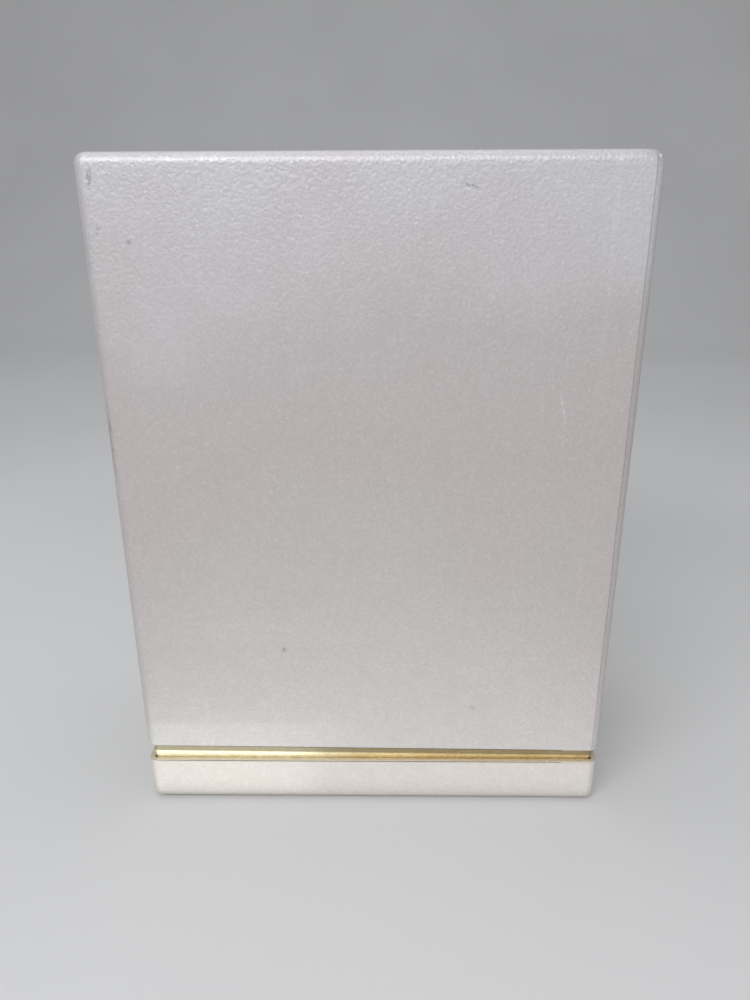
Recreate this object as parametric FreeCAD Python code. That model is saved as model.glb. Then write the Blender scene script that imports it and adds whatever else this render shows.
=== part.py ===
"""Rosin cake in its presentation box: a paper-wrapped board box with a lift-off lid over a
gold-foiled neck, a foam insert, and a round cake of bow rosin in a turned metal cup.

Millimetres, +Z up, the front faces -Y. The origin is the centre of the box's underside.
"""

import FreeCAD
import Part
import os
from math import sqrt

V = FreeCAD.Vector
UP = V(0, 0, 1)

# ---- driving dimensions ----------------------------------------------------------------
BOX_WIDTH = 78.0            # X, over the wrap
BOX_DEPTH = 42.0            # Y, over the wrap
BOX_HEIGHT = 105.0          # Z, underside to lid top, lid as stored
BASE_HEIGHT = 8.4           # underside to the rim of the base
REVEAL = 2.2                # gold neck showing between the rim and the lid's edge
NECK_STAND = 36.8           # neck's top above the rim

BOARD = 0.6                 # grey board of lid, base and neck
WRAP = 0.12                 # pearl paper with its glue
LINING = 0.12               # plain paper inside lid and base
FOIL = 0.1                  # gold foil paper on the neck
BOTTOM_SHEET = 0.15         # paper patch under the base
TAPE = 0.1                  # kraft tape at board corners

EDGE_RADIUS = 1.7           # vertical edges of the wrapped box
CAP_RADIUS = 1.5            # top edge of the lid and bottom edge of the base
RIM_RADIUS = 0.35           # fold of the paper over an open rim
FOLD_RADIUS = 0.3           # inside corner of folded board
NECK_RADIUS = 0.8           # outside corner of the neck's foil

SLIDE_GAP = 0.1             # lid to neck, and neck to base, each side
SLIT = 0.1                  # butt joint between two board walls
SHEET_INSET = 2.5           # bottom sheet, in from the box's sides
LID_TURN_IN = 12.0          # pearl paper folded up inside the lid
BASE_TURN_IN = 4.5          # pearl paper folded down inside the base
NECK_TURN_IN = 12.0         # foil folded down inside the neck
TAPE_LEG = 10.0             # corner tape, each side of its corner
TAPE_END = 2.0              # board left bare above and below a tape

CUP_DIAMETER = 58.0         # also the size of the cake over its cup
CUP_DEPTH = 14.0            # along the cup's own axis, which is Y
CUP_WALL = 2.0
CUP_FLOOR = 2.4
CUP_EDGE = 0.6
GROOVE = 0.35               # depth of the turned grip grooves
GROOVE_PITCH = 2.0
GROOVE_COUNT = 3
PAD_DEPTH = 1.0             # felt disc let into the cup's back
PAD_MARGIN = 5.0            # metal left round that disc
CAKE_PROUD = 8.7            # rosin standing in front of the cup's rim
CAKE_EDGE = 1.2             # chamfer round the rosin's face
CAKE_DISH = 0.4             # shallow hollow the rosin sets with

SEAT_DEPTH = 24.0           # how deep the cup stands in the insert
NECK_LIP = 2.6              # neck's top above the insert's cover
COVER = 0.4                 # flocked card on top of the foam
FOAM_GAP = 0.13             # foam to the foil inside the neck
CUP_GAP = 0.15              # cup to the foam round it
FOAM_RADIUS = 1.0

# ---- levels and half sizes that follow -------------------------------------------------
WALL = WRAP + BOARD + WRAP                  # lid or base wall where the paper is turned in
NECK_INSET = WALL + SLIDE_GAP               # box face to the neck's foil
BASE_FOOT = BOTTOM_SHEET                    # underside of the base's wrap
LID_FOOT = BASE_HEIGHT + REVEAL             # lid's lower edge
LID_CEILING = BOX_HEIGHT - WRAP - BOARD - LINING
FLOOR = BASE_FOOT + WRAP + BOARD + LINING   # inside floor, where neck and foam stand
NECK_TOP = BASE_HEIGHT + NECK_STAND
COVER_TOP = NECK_TOP - NECK_LIP
FOAM_TOP = COVER_TOP - COVER
FOAM_INSET = NECK_INSET + FOIL + BOARD + FOIL + FOAM_GAP
CUP_RADIUS = CUP_DIAMETER / 2
CUP_THICKNESS = CUP_DEPTH + CAKE_PROUD      # cup and rosin together, along Y
CUP_BACK = CUP_THICKNESS / 2                # Y of the cup's back
CUP_CENTRE = FOAM_TOP - SEAT_DEPTH + CUP_RADIUS


def prism(inset, low, high, radius):
    """Upright block, that far inside the box's outline, with rounded vertical edges."""
    x = BOX_WIDTH / 2 - inset
    y = BOX_DEPTH / 2 - inset
    block = Part.makeBox(2 * x, 2 * y, high - low, V(-x, -y, low))
    upright = [e for e in block.Edges if abs(e.tangentAt(e.FirstParameter).z) > 0.9]
    return block.makeFillet(radius, upright)


def soften(block, level, radius):
    """Round the whole outline of a block's flat end at this height."""
    ring = [e for e in block.Edges if all(abs(v.Z - level) < 1e-6 for v in e.Vertexes)]
    return block.makeFillet(radius, ring)


def corner_blocks(inset, leg, low, high):
    """Four upright blocks over the corners, each reaching that far along both walls."""
    x = BOX_WIDTH / 2 - inset - leg
    y = BOX_DEPTH / 2 - inset - leg
    blocks = []
    for sx in (-1, 1):
        for sy in (-1, 1):
            corner = V(min(sx * x, sx * (x + 2 * leg)), min(sy * y, sy * (y + 2 * leg)), low)
            blocks.append(Part.makeBox(2 * leg, 2 * leg, high - low, corner))
    return blocks


def corner_slit(sx, sy, inset, low, high):
    """Thin diagonal cutter where two walls of a folded board meet."""
    reach = 4 * BOARD
    cutter = Part.makeBox(reach, SLIT, high - low, V(-reach / 2, -SLIT / 2, low))
    cutter.rotate(V(0, 0, 0), UP, 45 * sx * sy)
    middle = inset + BOARD / 2
    cutter.translate(V(sx * (BOX_WIDTH / 2 - middle), sy * (BOX_DEPTH / 2 - middle), 0))
    return cutter


def corner_tapes(envelope, low, high):
    """Four folded tapes pressed flush into the outside corners of a board box."""
    inner = prism(WRAP + TAPE, low - 1, high + 1, EDGE_RADIUS - WRAP - TAPE)
    skin = envelope.cut(inner)
    return [skin.common(b) for b in corner_blocks(WRAP, TAPE_LEG, low, high)]


def turned_in_wrap(outer, envelope, rim, depth):
    """Paper skin over a board box: outside, over the open rim and a way down inside."""
    low, high = sorted((rim, rim + depth))
    mouth = prism(WALL, low - 1, high + 1, FOLD_RADIUS)
    strip = prism(WRAP + BOARD, low, high, FOLD_RADIUS).cut(mouth)
    return outer.cut(envelope).cut(mouth).fuse(strip).removeSplitter()


# ---- lid -------------------------------------------------------------------------------
def lid_envelope():
    """Outside of the lid's board, which is the inside of its wrap."""
    block = prism(WRAP, LID_FOOT + WRAP, BOX_HEIGHT - WRAP, EDGE_RADIUS - WRAP)
    return soften(block, BOX_HEIGHT - WRAP, CAP_RADIUS - WRAP)


def lid_tapes():
    return corner_tapes(
        lid_envelope(), LID_FOOT + WRAP + TAPE_END, BOX_HEIGHT - CAP_RADIUS - TAPE_END
    )


def lid_board():
    """One folded blank: top panel and four walls, slit down the four corners."""
    ceiling = LID_CEILING + LINING
    hollow = prism(WRAP + BOARD, LID_FOOT - 1, ceiling, FOLD_RADIUS)
    board = lid_envelope().cut(hollow)
    for sx in (-1, 1):
        for sy in (-1, 1):
            board = board.cut(corner_slit(sx, sy, WRAP, LID_FOOT - 1, ceiling))
    return board.cut(Part.makeCompound(lid_tapes()))


def lid_wrap():
    outer = prism(0, LID_FOOT, BOX_HEIGHT, EDGE_RADIUS)
    outer = soften(outer, BOX_HEIGHT, CAP_RADIUS)
    outer = soften(outer, LID_FOOT, RIM_RADIUS)
    return turned_in_wrap(outer, lid_envelope(), LID_FOOT, LID_TURN_IN)


def lid_lining():
    """Plain paper over the lid's ceiling and walls, down to the turned-in wrap."""
    low = LID_FOOT + LID_TURN_IN
    sheet = prism(WRAP + BOARD, low, LID_CEILING + LINING, FOLD_RADIUS)
    hollow = prism(WRAP + BOARD + LINING, low - 1, LID_CEILING, FOLD_RADIUS - LINING)
    return sheet.cut(hollow)


# ---- base ------------------------------------------------------------------------------
def base_envelope():
    """Outside of the base's board, which is the inside of its wrap."""
    foot = BASE_FOOT + WRAP
    block = prism(WRAP, foot, BASE_HEIGHT - WRAP, EDGE_RADIUS - WRAP)
    return soften(block, foot, CAP_RADIUS - WRAP)


def base_tapes():
    return corner_tapes(
        base_envelope(), BASE_FOOT + CAP_RADIUS + WRAP, BASE_HEIGHT - WRAP - TAPE_END / 2
    )


def base_board():
    """One folded blank: bottom panel and four low walls, slit at the corners."""
    floor = FLOOR - LINING
    hollow = prism(WRAP + BOARD, floor, BASE_HEIGHT + 1, FOLD_RADIUS)
    board = base_envelope().cut(hollow)
    for sx in (-1, 1):
        for sy in (-1, 1):
            board = board.cut(corner_slit(sx, sy, WRAP, floor, BASE_HEIGHT + 1))
    return board.cut(Part.makeCompound(base_tapes()))


def base_wrap():
    outer = prism(0, BASE_FOOT, BASE_HEIGHT, EDGE_RADIUS)
    outer = soften(outer, BASE_FOOT, CAP_RADIUS)
    outer = soften(outer, BASE_HEIGHT, RIM_RADIUS)
    return turned_in_wrap(outer, base_envelope(), BASE_HEIGHT, -BASE_TURN_IN)


def base_bottom_sheet():
    return prism(SHEET_INSET, 0, BOTTOM_SHEET, EDGE_RADIUS)


def base_floor_lining():
    return prism(WALL, FLOOR - LINING, FLOOR, FOLD_RADIUS)


# ---- neck ------------------------------------------------------------------------------
def neck_board():
    """One strip folded round the inside of the base, butted at its rear left corner."""
    inset = NECK_INSET + FOIL
    ring = prism(inset, FLOOR, NECK_TOP - FOIL, NECK_RADIUS - FOIL)
    ring = ring.cut(prism(inset + BOARD, FLOOR - 1, NECK_TOP + 1, FOLD_RADIUS))
    return ring.cut(corner_slit(-1, 1, inset, FLOOR - 1, NECK_TOP + 1))


def neck_joint_tape():
    """Folded tape that holds the neck's butt joint from the inside."""
    inset = NECK_INSET + FOIL + BOARD
    low = FLOOR + TAPE_END
    high = NECK_TOP - NECK_TURN_IN - TAPE_END
    skin = prism(inset, low, high, FOLD_RADIUS)
    skin = skin.cut(prism(inset + TAPE, low - 1, high + 1, FOLD_RADIUS - TAPE))
    rear_left = corner_blocks(inset, TAPE_LEG, low, high)[1]
    return skin.common(rear_left)


def neck_foil_wrap():
    """Gold paper on the neck's outside, over its top edge and a way down inside."""
    outer = soften(prism(NECK_INSET, FLOOR, NECK_TOP, NECK_RADIUS), NECK_TOP, FOIL)
    board = prism(NECK_INSET + FOIL, FLOOR - 1, NECK_TOP - FOIL, NECK_RADIUS - FOIL)
    inside = NECK_INSET + FOIL + BOARD
    low = NECK_TOP - NECK_TURN_IN
    mouth = prism(inside + FOIL, low - 1, NECK_TOP + 1, FOLD_RADIUS - FOIL)
    strip = prism(inside, low, NECK_TOP - FOIL / 2, FOLD_RADIUS).cut(mouth)
    return outer.cut(board).cut(mouth).fuse(strip).removeSplitter()


# ---- insert ----------------------------------------------------------------------------
def foam_layer(front, rear):
    """Upright slice of the foam block between two Y planes."""
    block = prism(FOAM_INSET, FLOOR, FOAM_TOP, FOAM_RADIUS)
    slab = Part.makeBox(BOX_WIDTH, rear - front, BOX_HEIGHT, V(-BOX_WIDTH / 2, front, 0))
    return block.common(slab)


def cradle_half():
    return CUP_BACK + CUP_GAP


def insert_cradle_layer():
    """Middle slice, cut to the cup's round so that the cup stands on edge in it."""
    half = cradle_half()
    round_seat = Part.makeCylinder(
        CUP_RADIUS + CUP_GAP, 2 * BOX_DEPTH, V(0, -BOX_DEPTH, CUP_CENTRE), V(0, 1, 0)
    )
    return foam_layer(-half, half).cut(round_seat)


def insert_cover():
    """Flocked card with a slot for the cup, lying on the foam."""
    card = prism(FOAM_INSET, FOAM_TOP, COVER_TOP, FOAM_RADIUS)
    rise = CUP_CENTRE - COVER_TOP
    half_x = sqrt(CUP_RADIUS ** 2 - rise ** 2) + 2 * CUP_GAP
    half_y = cradle_half()
    slot = Part.makeBox(2 * half_x, 2 * half_y, BOX_HEIGHT, V(-half_x, -half_y, 0))
    return card.cut(slot)


# ---- rosin and cup ---------------------------------------------------------------------
def turned(points):
    """Solid turned about the cup's axis from (radius, Y) points; a triple is an arc's
    middle point and end."""
    def place(radius, y):
        return V(radius, y, CUP_CENTRE)

    edges = []
    last = place(*points[0])
    for point in points[1:] + [points[0]]:
        if len(point) == 4:
            end = place(*point[2:])
            edges.append(Part.Arc(last, place(*point[:2]), end).toShape())
        else:
            end = place(*point)
            edges.append(Part.LineSegment(last, end).toShape())
        last = end
    face = Part.Face(Part.Wire(edges))
    return face.revolve(V(0, 0, CUP_CENTRE), V(0, 1, 0), 360)


def cake_cup():
    """Shallow turned cup, open to the front, with grip grooves near its rim."""
    back = CUP_BACK
    rim = back - CUP_DEPTH
    bore = CUP_RADIUS - CUP_WALL
    pad = CUP_RADIUS - PAD_MARGIN
    soft = CUP_EDGE * (1 - sqrt(0.5))
    cup = turned([
        (0, back - PAD_DEPTH),
        (pad, back - PAD_DEPTH),
        (pad, back),
        (CUP_RADIUS - CUP_EDGE, back),
        (CUP_RADIUS - soft, back - soft, CUP_RADIUS, back - CUP_EDGE),
        (CUP_RADIUS, rim + CUP_EDGE),
        (CUP_RADIUS - soft, rim + soft, CUP_RADIUS - CUP_EDGE, rim),
        (bore, rim),
        (bore, back - CUP_FLOOR - PAD_DEPTH),
        (0, back - CUP_FLOOR - PAD_DEPTH),
    ])
    for n in range(GROOVE_COUNT):
        y = rim + GROOVE_PITCH * (n + 1)
        cup = cup.cut(turned([
            (CUP_RADIUS + GROOVE, y - 2 * GROOVE),
            (CUP_RADIUS + GROOVE, y + 2 * GROOVE),
            (CUP_RADIUS - GROOVE, y),
        ]))
    return cup


def cup_back_pad():
    """Felt disc glued into the recess of the cup's back."""
    return Part.makeCylinder(
        CUP_RADIUS - PAD_MARGIN - CUP_GAP, PAD_DEPTH,
        V(0, CUP_BACK - PAD_DEPTH, CUP_CENTRE), V(0, 1, 0)
    )


def rosin_cake():
    """Rosin cast in the cup, with a chamfered edge and a slightly dished face."""
    bore = CUP_RADIUS - CUP_WALL
    bottom = CUP_BACK - CUP_FLOOR - PAD_DEPTH
    face = CUP_BACK - CUP_DEPTH - CAKE_PROUD
    flat = bore - CAKE_EDGE
    cake = turned([
        (0, bottom),
        (bore, bottom),
        (bore, face + CAKE_EDGE),
        (flat, face),
        (0, face),
    ])
    dish_radius = (flat ** 2 + CAKE_DISH ** 2) / (2 * CAKE_DISH)
    dish_centre = V(0, face + CAKE_DISH - dish_radius, CUP_CENTRE)
    return cake.cut(Part.makeSphere(dish_radius, dish_centre))


def save(name, solids):
    """Write one node; a list is a group of separate solids."""
    shape = Part.makeCompound(solids) if isinstance(solids, list) else solids
    bad = [s for s in shape.Solids if not s.isValid()]
    print(f"{name}: {len(shape.Solids)} solid(s), {shape.Volume:.1f} mm3, bad {len(bad)}")
    shape.exportStep(f"parts/{name}.step")


def main():
    os.makedirs("parts", exist_ok=True)
    half = cradle_half()
    outer = BOX_DEPTH / 2
    save("lid_board", lid_board())
    save("lid_corner_tapes", lid_tapes())
    save("lid_wrap", lid_wrap())
    save("lid_lining", lid_lining())
    save("base_board", base_board())
    save("base_corner_tapes", base_tapes())
    save("base_wrap", base_wrap())
    save("base_bottom_sheet", base_bottom_sheet())
    save("base_floor_lining", base_floor_lining())
    save("neck_board", neck_board())
    save("neck_joint_tape", neck_joint_tape())
    save("neck_foil_wrap", neck_foil_wrap())
    save("insert_front_layer", foam_layer(-outer, -half))
    save("insert_cradle_layer", insert_cradle_layer())
    save("insert_rear_layer", foam_layer(half, outer))
    save("insert_cover", insert_cover())
    save("cake_cup", cake_cup())
    save("cup_back_pad", cup_back_pad())
    save("rosin_cake", rosin_cake())


main()
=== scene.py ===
from math import cos, exp, pi, radians, sin, sqrt
import bmesh
import bpy
from mathutils import Matrix, Vector, noise


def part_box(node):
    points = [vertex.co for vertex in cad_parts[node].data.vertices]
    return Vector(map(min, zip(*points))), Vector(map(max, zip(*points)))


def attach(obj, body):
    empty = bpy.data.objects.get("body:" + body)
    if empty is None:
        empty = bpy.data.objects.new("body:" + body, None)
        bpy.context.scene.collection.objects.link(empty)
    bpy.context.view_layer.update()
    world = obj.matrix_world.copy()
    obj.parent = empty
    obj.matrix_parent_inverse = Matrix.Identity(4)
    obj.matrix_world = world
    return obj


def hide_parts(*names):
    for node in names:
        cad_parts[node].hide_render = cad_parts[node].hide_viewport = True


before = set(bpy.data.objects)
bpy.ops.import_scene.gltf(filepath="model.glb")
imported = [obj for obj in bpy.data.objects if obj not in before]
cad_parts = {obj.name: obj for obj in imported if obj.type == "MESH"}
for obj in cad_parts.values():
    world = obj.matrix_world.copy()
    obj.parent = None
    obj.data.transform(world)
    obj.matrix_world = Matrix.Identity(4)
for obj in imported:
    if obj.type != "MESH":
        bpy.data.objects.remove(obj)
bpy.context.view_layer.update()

MM = 0.001

# ---- sizes read from the frame, in metres -----------------------------------------------
LID_LO, LID_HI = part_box("lid_wrap")
LID_BOARD_LO, LID_BOARD_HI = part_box("lid_board")
LINING_LO, LINING_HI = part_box("lid_lining")
BASE_LO, BASE_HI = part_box("base_wrap")
BASE_BOARD_LO, BASE_BOARD_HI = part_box("base_board")
FLOOR_LO, FLOOR_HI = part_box("base_floor_lining")
NECK_LO, NECK_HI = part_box("neck_foil_wrap")
NECK_BOARD_LO, NECK_BOARD_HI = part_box("neck_board")
CUP_LO, CUP_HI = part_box("cake_cup")
ROSIN_LO, ROSIN_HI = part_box("rosin_cake")
PAD_LO, PAD_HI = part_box("cup_back_pad")
COVER_LO, COVER_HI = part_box("insert_cover")
CRADLE_LO, CRADLE_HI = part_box("insert_cradle_layer")

HALF_X = LID_HI.x
HALF_Y = LID_HI.y
WRAP = LID_HI.x - LID_BOARD_HI.x            # paper with its glue
BOARD = LID_BOARD_HI.x - LINING_HI.x        # grey board
WALL = HALF_X - FLOOR_HI.x                  # wall where the paper is turned in
NECK_INSET = HALF_X - NECK_HI.x
FOIL = NECK_HI.x - NECK_BOARD_HI.x
CUP_AXIS = (CUP_LO.z + CUP_HI.z) / 2
CUP_RADIUS = CUP_HI.x

EDGE_RADIUS = 1.7 * MM                      # vertical edges
CAP_RADIUS = 1.5 * MM                       # lid's top edge, base's bottom edge
RIM_RADIUS = 0.35 * MM                      # paper's fold over a board's cut edge
FOLD_RADIUS = 0.3 * MM                      # vertical corners inside the box
NECK_RADIUS = 0.8 * MM                      # neck's vertical edges
TIGHT_RADIUS = 0.2 * MM                     # corners of the rings within a flat face
BASE_TURN_IN = 4.5 * MM
FOIL_TURN_IN = 12 * MM

SINGLE = 0.085 * MM                         # one paper lies this far under two papers
FLAP_STEP = 0.065 * MM                      # of that, given back where a flap lies below
TAPE_STEP = 0.02 * MM                       # and where the corner tape shows through
FLAP_LEG = 6.2 * MM                         # flap's reach from a panel's right edge
TAPE_LEG = 10.0 * MM                        # tape's reach from a corner
CUT_EDGE_ANGLE = 17.0                       # where the paper's cut edge is on a corner's arc
UNEVEN_LEFT = 0.66 * MM                     # lid's lower edge, higher at its left end
UNEVEN_REACH = 6.0 * MM                     # height over which that shift dies out
UNEVEN_CLEAR = UNEVEN_REACH + 0.2 * MM      # first ring above it


def smooth(value, low, high):
    """0 below low, 1 above high, and smooth between."""
    t = min(max((value - low) / (high - low), 0.0), 1.0)
    return t * t * (3 - 2 * t)


# ---- rounded rectangular rings ----------------------------------------------------------
def stations(length, step):
    """Places along one side as shares of its straight part, closer where paper steps."""
    straight = length - 2 * EDGE_RADIUS
    marks = set()
    count = max(4, round(straight / step))
    marks.update(round(k / count, 5) for k in range(1, count))
    for leg in (FLAP_LEG, TAPE_LEG):
        for shift in (-0.5, -0.2, 0.2, 0.5):
            share = (leg - EDGE_RADIUS + shift * MM) / straight
            marks.update((round(share, 5), round(1 - share, 5)))
    return sorted(m for m in marks if 0.001 < m < 0.999)


ARC = [
    0, 6, 11, 14.5, CUT_EDGE_ANGLE - 1.2, CUT_EDGE_ANGLE + 1.2,
    20.5, 26, 34, 43, 52, 61, 70, 80, 90
]                                           # degrees round a corner
RING_STEP = 1.3 * MM
ALONG_X = stations(2 * HALF_X, RING_STEP)
ALONG_Y = stations(2 * HALF_Y, RING_STEP)


def ring(half_x, half_y, radius, z):
    """Points round a rounded rectangle, from the front left corner towards +X.

    Each is (point, outward normal, distance from its panel's left, and right, edge)."""
    points = []
    turn = ((1, 0), (0, 1), (-1, 0), (0, -1))
    full = (HALF_X, HALF_Y, HALF_X, HALF_Y)
    for side in range(4):
        ax, ay = turn[side]
        nx, ny = ay, -ax
        reach = half_x if side % 2 == 0 else half_y
        depth = half_y if side % 2 == 0 else half_x
        span = reach - radius
        length = 2 * full[side]
        for share in (ALONG_X if side % 2 == 0 else ALONG_Y):
            s = span * (2 * share - 1)
            x, y = ax * s + nx * depth, ay * s + ny * depth
            left = EDGE_RADIUS + share * (length - 2 * EDGE_RADIUS)
            points.append((Vector((x, y, z)), Vector((nx, ny, 0)), left, length - left))
        cx = ax * span + nx * (depth - radius)
        cy = ay * span + ny * (depth - radius)
        for angle in ARC:
            a = radians(angle)
            mx, my = nx * cos(a) + ax * sin(a), ny * cos(a) + ay * sin(a)
            if angle < CUT_EDGE_ANGLE:
                right = EDGE_RADIUS * (1 - sin(a))
                left = length - right
            else:
                left = EDGE_RADIUS * (1 - cos(a))
                right = 2 * full[(side + 1) % 4] - left
            point = Vector((cx + mx * radius, cy + my * radius, z))
            points.append((point, Vector((mx, my, 0)), left, right))
    return points


def paper_sink(point, left, right):
    """How far the paper lies under the box's largest outline at this place."""
    flap = 1 - smooth(right, FLAP_LEG - 0.3 * MM, FLAP_LEG + 0.3 * MM)
    nearest = min(left, right)
    tape = 1 - smooth(nearest, TAPE_LEG - 0.6 * MM, TAPE_LEG + 0.6 * MM)
    inner = 1 - smooth(nearest, FLAP_LEG - 0.5 * MM, FLAP_LEG + 0.5 * MM)
    sink = SINGLE - FLAP_STEP * flap - TAPE_STEP * (0.6 * tape + 0.4 * inner)
    wave = noise.noise(point * 90) * 0.01 * MM + noise.noise(point * 260) * 0.004 * MM
    return max(0.0, sink + wave * (1 - flap))


def closed_loft(rings, name, cap=True):
    """Closed surface over a list of rings of points, joined up or capped at its ends."""
    count = len(rings[0])
    verts = [p for r in rings for p in r]
    faces = []
    last = len(rings) - 1
    for k in range(last if cap else len(rings)):
        here, there = k * count, ((k + 1) % len(rings)) * count
        for j in range(count):
            n = (j + 1) % count
            faces.append((here + j, here + n, there + n, there + j))
    if cap:
        faces.append(tuple(range(count))[::-1])
        faces.append(tuple(range(last * count, (last + 1) * count)))
    return solid(name, verts, faces)


def solid(name, verts, faces):
    """Object with smooth faces that all point outwards."""
    mesh = bpy.data.meshes.new(name)
    mesh.from_pydata([tuple(v) for v in verts], [], faces)
    bm = bmesh.new()
    bm.from_mesh(mesh)
    bmesh.ops.remove_doubles(bm, verts=bm.verts, dist=1e-7)
    bmesh.ops.recalc_face_normals(bm, faces=bm.faces)
    bm.to_mesh(mesh)
    bm.free()
    mesh.shade_smooth()
    mesh.set_sharp_from_angle(angle=radians(38))
    obj = bpy.data.objects.new(name, mesh)
    bpy.context.collection.objects.link(obj)
    return obj


def fit_out(obj, body, slot, material, *nodes):
    """Say what a piece rides on, what it is made of and which nodes it stands for."""
    obj.data.materials.clear()
    obj.data.materials.append(material)
    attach(obj, body)
    if nodes:
        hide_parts(*nodes)
    return obj


# ---- node helpers -----------------------------------------------------------------------
class Shade:
    """One procedural material: a principled shader and short ways to add nodes."""

    def __init__(self, name, **values):
        self.material = bpy.data.materials.new(name)
        self.material.use_nodes = True
        self.tree = self.material.node_tree
        self.tree.nodes.clear()
        out = self.tree.nodes.new("ShaderNodeOutputMaterial")
        self.shader = self.tree.nodes.new("ShaderNodeBsdfPrincipled")
        self.tree.links.new(self.shader.outputs[0], out.inputs["Surface"])
        for key, value in values.items():
            self.shader.inputs[key.replace("_", " ")].default_value = value
        where = self.add("ShaderNodeTexCoord")
        scale = self.add("ShaderNodeVectorMath", operation="SCALE")
        self.link(where.outputs["Object"], scale.inputs[0])
        scale.inputs["Scale"].default_value = 1 / MM
        self.mm = scale.outputs[0]

    def split(self, vector):
        """The x, y and z outputs of a vector."""
        node = self.add("ShaderNodeSeparateXYZ")
        self.link(vector, node.inputs[0])
        return node.outputs

    def add(self, kind, **props):
        node = self.tree.nodes.new(kind)
        for key, value in props.items():
            setattr(node, key, value)
        return node

    def link(self, a, b):
        self.tree.links.new(a, b)

    def to(self, key, source):
        """Feed one of the shader's own inputs."""
        self.link(source, self.shader.inputs[key])

    def warp(self, scale=(1, 1, 1), location=(0, 0, 0), rotation=(0, 0, 0), kind="POINT"):
        """Object coordinates in mm, stretched, moved or turned."""
        node = self.add("ShaderNodeMapping", vector_type=kind)
        self.link(self.mm, node.inputs["Vector"])
        node.inputs["Location"].default_value = location
        node.inputs["Rotation"].default_value = rotation
        node.inputs["Scale"].default_value = scale
        return node.outputs[0]

    def noise(self, scale, detail=2.0, rough=0.5, where=None, distortion=0.0):
        node = self.add("ShaderNodeTexNoise")
        self.link(where or self.mm, node.inputs["Vector"])
        node.inputs["Scale"].default_value = scale
        node.inputs["Detail"].default_value = detail
        node.inputs["Roughness"].default_value = rough
        node.inputs["Distortion"].default_value = distortion
        return node.outputs["Fac"]

    def cells(self, scale, feature="F1", output="Distance"):
        node = self.add("ShaderNodeTexVoronoi", feature=feature)
        self.link(self.mm, node.inputs["Vector"])
        node.inputs["Scale"].default_value = scale
        return node.outputs[output]

    def math(self, operation, a, b=None):
        node = self.add("ShaderNodeMath", operation=operation)
        for socket, value in zip(node.inputs, (a, b)):
            if value is None:
                continue
            if isinstance(value, (int, float)):
                socket.default_value = value
            else:
                self.link(value, socket)
        return node.outputs[0]

    def remap(self, value, low, high, to_low=0.0, to_high=1.0):
        """Smooth step from to_low, below low, to to_high, above high."""
        node = self.add("ShaderNodeMapRange", interpolation_type="SMOOTHSTEP")
        self.link(value, node.inputs["Value"])
        for key, number in (
            ("From Min", low), ("From Max", high), ("To Min", to_low), ("To Max", to_high)
        ):
            node.inputs[key].default_value = number
        return node.outputs["Result"]

    def ramp(self, value, stops):
        node = self.add("ShaderNodeValToRGB")
        self.link(value, node.inputs["Fac"])
        band = node.color_ramp
        while len(band.elements) < len(stops):
            band.elements.new(0.5)
        for element, (place, colour) in zip(band.elements, stops):
            element.position = place
            element.color = (*colour, 1.0)
        return node.outputs["Color"]

    def mix(self, share, a, b):
        node = self.add("ShaderNodeMix", data_type="RGBA")
        for socket, value in ((node.inputs[0], share), (node.inputs[6], a), (node.inputs[7], b)):
            if isinstance(value, (int, float)):
                socket.default_value = value
            elif isinstance(value, tuple):
                socket.default_value = (*value, 1.0)
            else:
                self.link(value, socket)
        return node.outputs[2]

    def bump(self, height, depth_mm, strength=1.0, under=None):
        node = self.add("ShaderNodeBump")
        node.inputs["Strength"].default_value = strength
        node.inputs["Distance"].default_value = depth_mm * MM
        self.link(height, node.inputs["Height"])
        if under is not None:
            self.link(under, node.inputs["Normal"])
        return node.outputs["Normal"]


# ---- materials --------------------------------------------------------------------------
SEAM_X = 37.75                              # wrap's overlapping edge on the front, mm

# Scuffs on the lid's front, mm: place x, z and half lengths across, up. Lean in degrees.
DARK_SCUFFS = (
    (-36.8, 101.8, 0.45, 2.0, 8),
    (-36.5, 95.3, 0.35, 1.0, 12),
    (-32.4, 93.7, 0.6, 0.5, 0),
    (13.4, 100.6, 1.9, 0.32, 16),
    (-38.4, 66.0, 0.5, 8.5, 0),
    (-14.3, 30.5, 0.8, 0.7, 0),
    (16.8, 19.4, 0.8, 0.6, 0),
    (37.5, 12.0, 0.75, 0.16, -35),
    (38.3, 11.5, 0.45, 0.14, 30),
)
PALE_SCUFFS = (
    (13.9, 100.0, 1.6, 0.22, 16),
    (27.9, 70.8, 0.2, 3.2, -15),
)
SCUFF_DEPTH = 3.0                           # keeps the marks on the front panel, mm
FRONT = -HALF_Y / MM                        # front panel, mm
TONE_HEIGHTS = (0.02, 0.30, 0.55, 0.78, 0.98)   # of the box's height, for a paper's tones, whose change with height is painted light


def scuffs(shade, marks):
    """Soft oval marks on the front panel, joined into one mask."""
    total = None
    for x, z, half_x, half_z, lean in marks:
        where = shade.warp(
            scale=(half_x, SCUFF_DEPTH, half_z), location=(x, FRONT, z),
            rotation=(0, radians(lean), 0), kind="TEXTURE"
        )
        oval = shade.add("ShaderNodeTexGradient", gradient_type="SPHERICAL")
        shade.link(where, oval.inputs[0])
        value = oval.outputs["Fac"]
        total = value if total is None else shade.math("MAXIMUM", total, value)
    return total


def front_seam(s, x, y):
    """Thin dark line, a little wandering, up the front where the wrap's edge overlaps."""
    wander = s.math("MULTIPLY", s.noise(0.06, detail=1.0), 0.35)
    off = s.math("ADD", s.math("SUBTRACT", x, SEAM_X), wander)
    line = s.remap(s.math("ABSOLUTE", off), 0.04, 0.13, 1.0, 0.0)
    return s.math("MULTIPLY", line, s.remap(y, FRONT + 0.8, FRONT + 1.2, 1.0, 0.0))


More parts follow.
